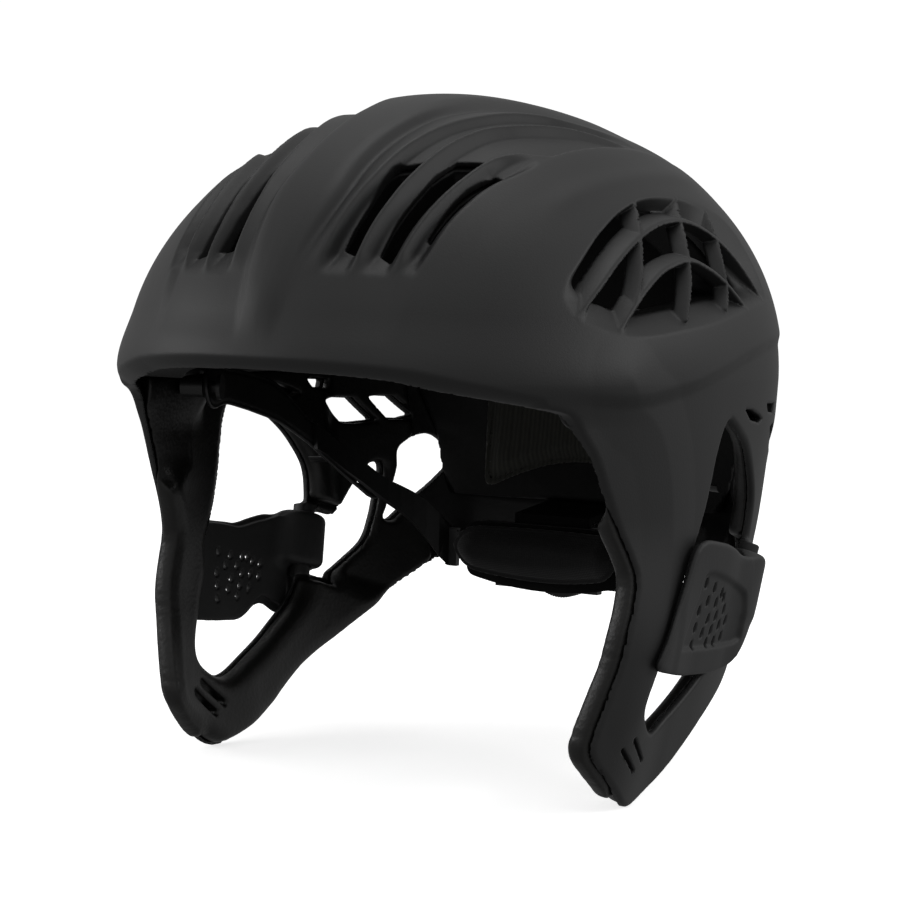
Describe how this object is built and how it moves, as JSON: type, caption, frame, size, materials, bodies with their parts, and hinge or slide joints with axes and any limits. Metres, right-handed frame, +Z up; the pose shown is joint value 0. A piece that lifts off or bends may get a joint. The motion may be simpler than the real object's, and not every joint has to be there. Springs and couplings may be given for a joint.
{
  "type": "surf helmet",
  "caption": "Hard-shell surf helmet with long side frames, vented dome, side grilles, foam lining, dial-adjusted nape cradle and swing-open ear covers.",
  "frame": {"origin": "the seat of the head under the crown, where the wearer's head carries the helmet", "axes": "+Z up to the crown as worn, -Y the way the wearer looks, +X the wearer's left"},
  "size_m": [0.2096, 0.2654, 0.2368],
  "materials": {
    "shell": "matte",
    "foam": "matte",
    "pad": "matte",
    "strap": "satin",
    "dial": "matte",
    "rubber": "matte",
    "steel": "satin"
  },
  "bodies": {
    "helmet": {"outer_shell": "shell", "dome_liner": "foam", "arm_liner_left": "foam", "arm_liner_right": "foam", "brow_pad": "pad", "crown_pad": "pad", "temple_pad_left": "pad", "temple_pad_right": "pad", "rear_pad": "pad", "side_strap_left": "strap", "side_strap_right": "strap", "strap_rivets": "dial", "cradle_body": "strap", "cradle_cover": "strap", "cradle_screws": "steel", "cradle_hanger": "strap", "nape_pad": "pad", "detent_spring": "steel"},
    "dial": {"fit_dial": "dial", "dial_pinion": "dial", "dial_screw": "steel"},
    "wing_left": {"fit_wing_left": "strap"},
    "wing_right": {"fit_wing_right": "strap"},
    "ear_cover_left": {"ear_cover_left": "rubber"},
    "ear_cover_right": {"ear_cover_right": "rubber"}
  },
  "joints": [
    {"name": "dial_turn", "type": "hinge", "parent": "helmet", "child": "dial", "pos_m": [0, 0.08295, -0.141], "axis": [0, 1, 0], "range_deg": [0, 91.7]},
    {"name": "wing_left_slide", "type": "slide", "parent": "helmet", "child": "wing_left", "axis": [-1, 0, 0], "range_m": [0, 0.008]},
    {"name": "wing_right_slide", "type": "slide", "parent": "helmet", "child": "wing_right", "axis": [1, 0, 0], "range_m": [0, 0.008]},
    {"name": "ear_cover_left_swing", "type": "hinge", "parent": "helmet", "child": "ear_cover_left", "pos_m": [0.09, 0.0355, -0.152], "axis": [0.1296, 0.2807, 0.951], "range_deg": [0, 75]},
    {"name": "ear_cover_right_swing", "type": "hinge", "parent": "helmet", "child": "ear_cover_right", "pos_m": [-0.09, 0.0355, -0.152], "axis": [0.1296, -0.2807, -0.951], "range_deg": [0, 75]}
  ],
  "couplings": [
    {"joint": "dial_turn", "follows": "wing_left_slide", "rad_per_m": 200},
    {"joint": "wing_right_slide", "follows": "wing_left_slide", "ratio": 1}
  ]
}
